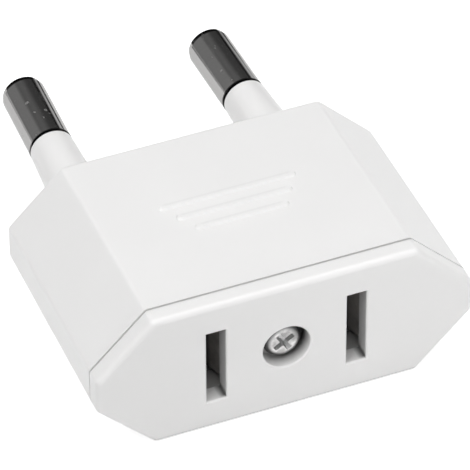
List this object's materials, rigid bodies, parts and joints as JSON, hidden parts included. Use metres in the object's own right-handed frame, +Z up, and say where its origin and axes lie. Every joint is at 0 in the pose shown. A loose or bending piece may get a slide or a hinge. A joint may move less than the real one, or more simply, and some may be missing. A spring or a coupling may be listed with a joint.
{
  "type": "travel adapter",
  "caption": "Flat eight-sided travel adapter: screwed front cover with blade slots, moulded housing with sleeved round pins that lean together, and plated brass contact clips inside.",
  "frame": {"origin": "under the middle of the whole length, on the wide side that the adapter lies on", "axes": "+X across the body, +Y from the socket face towards the pins, +Z up"},
  "size_m": [0.034, 0.0407, 0.0136],
  "materials": {
    "white_plastic": "fine moulded satin",
    "pin_nickel": "turned brass with bright nickel plating",
    "contact_strip": "dull tin-plated rolled strip",
    "screw_steel": "zinc plated"
  },
  "bodies": {
    "root": {"housing": "white_plastic", "socket_cover": "white_plastic", "cover_screw": "screw_steel", "pin_left": "pin_nickel", "pin_right": "pin_nickel", "contact_left": "contact_strip", "contact_right": "contact_strip"}
  },
  "joints": []
}
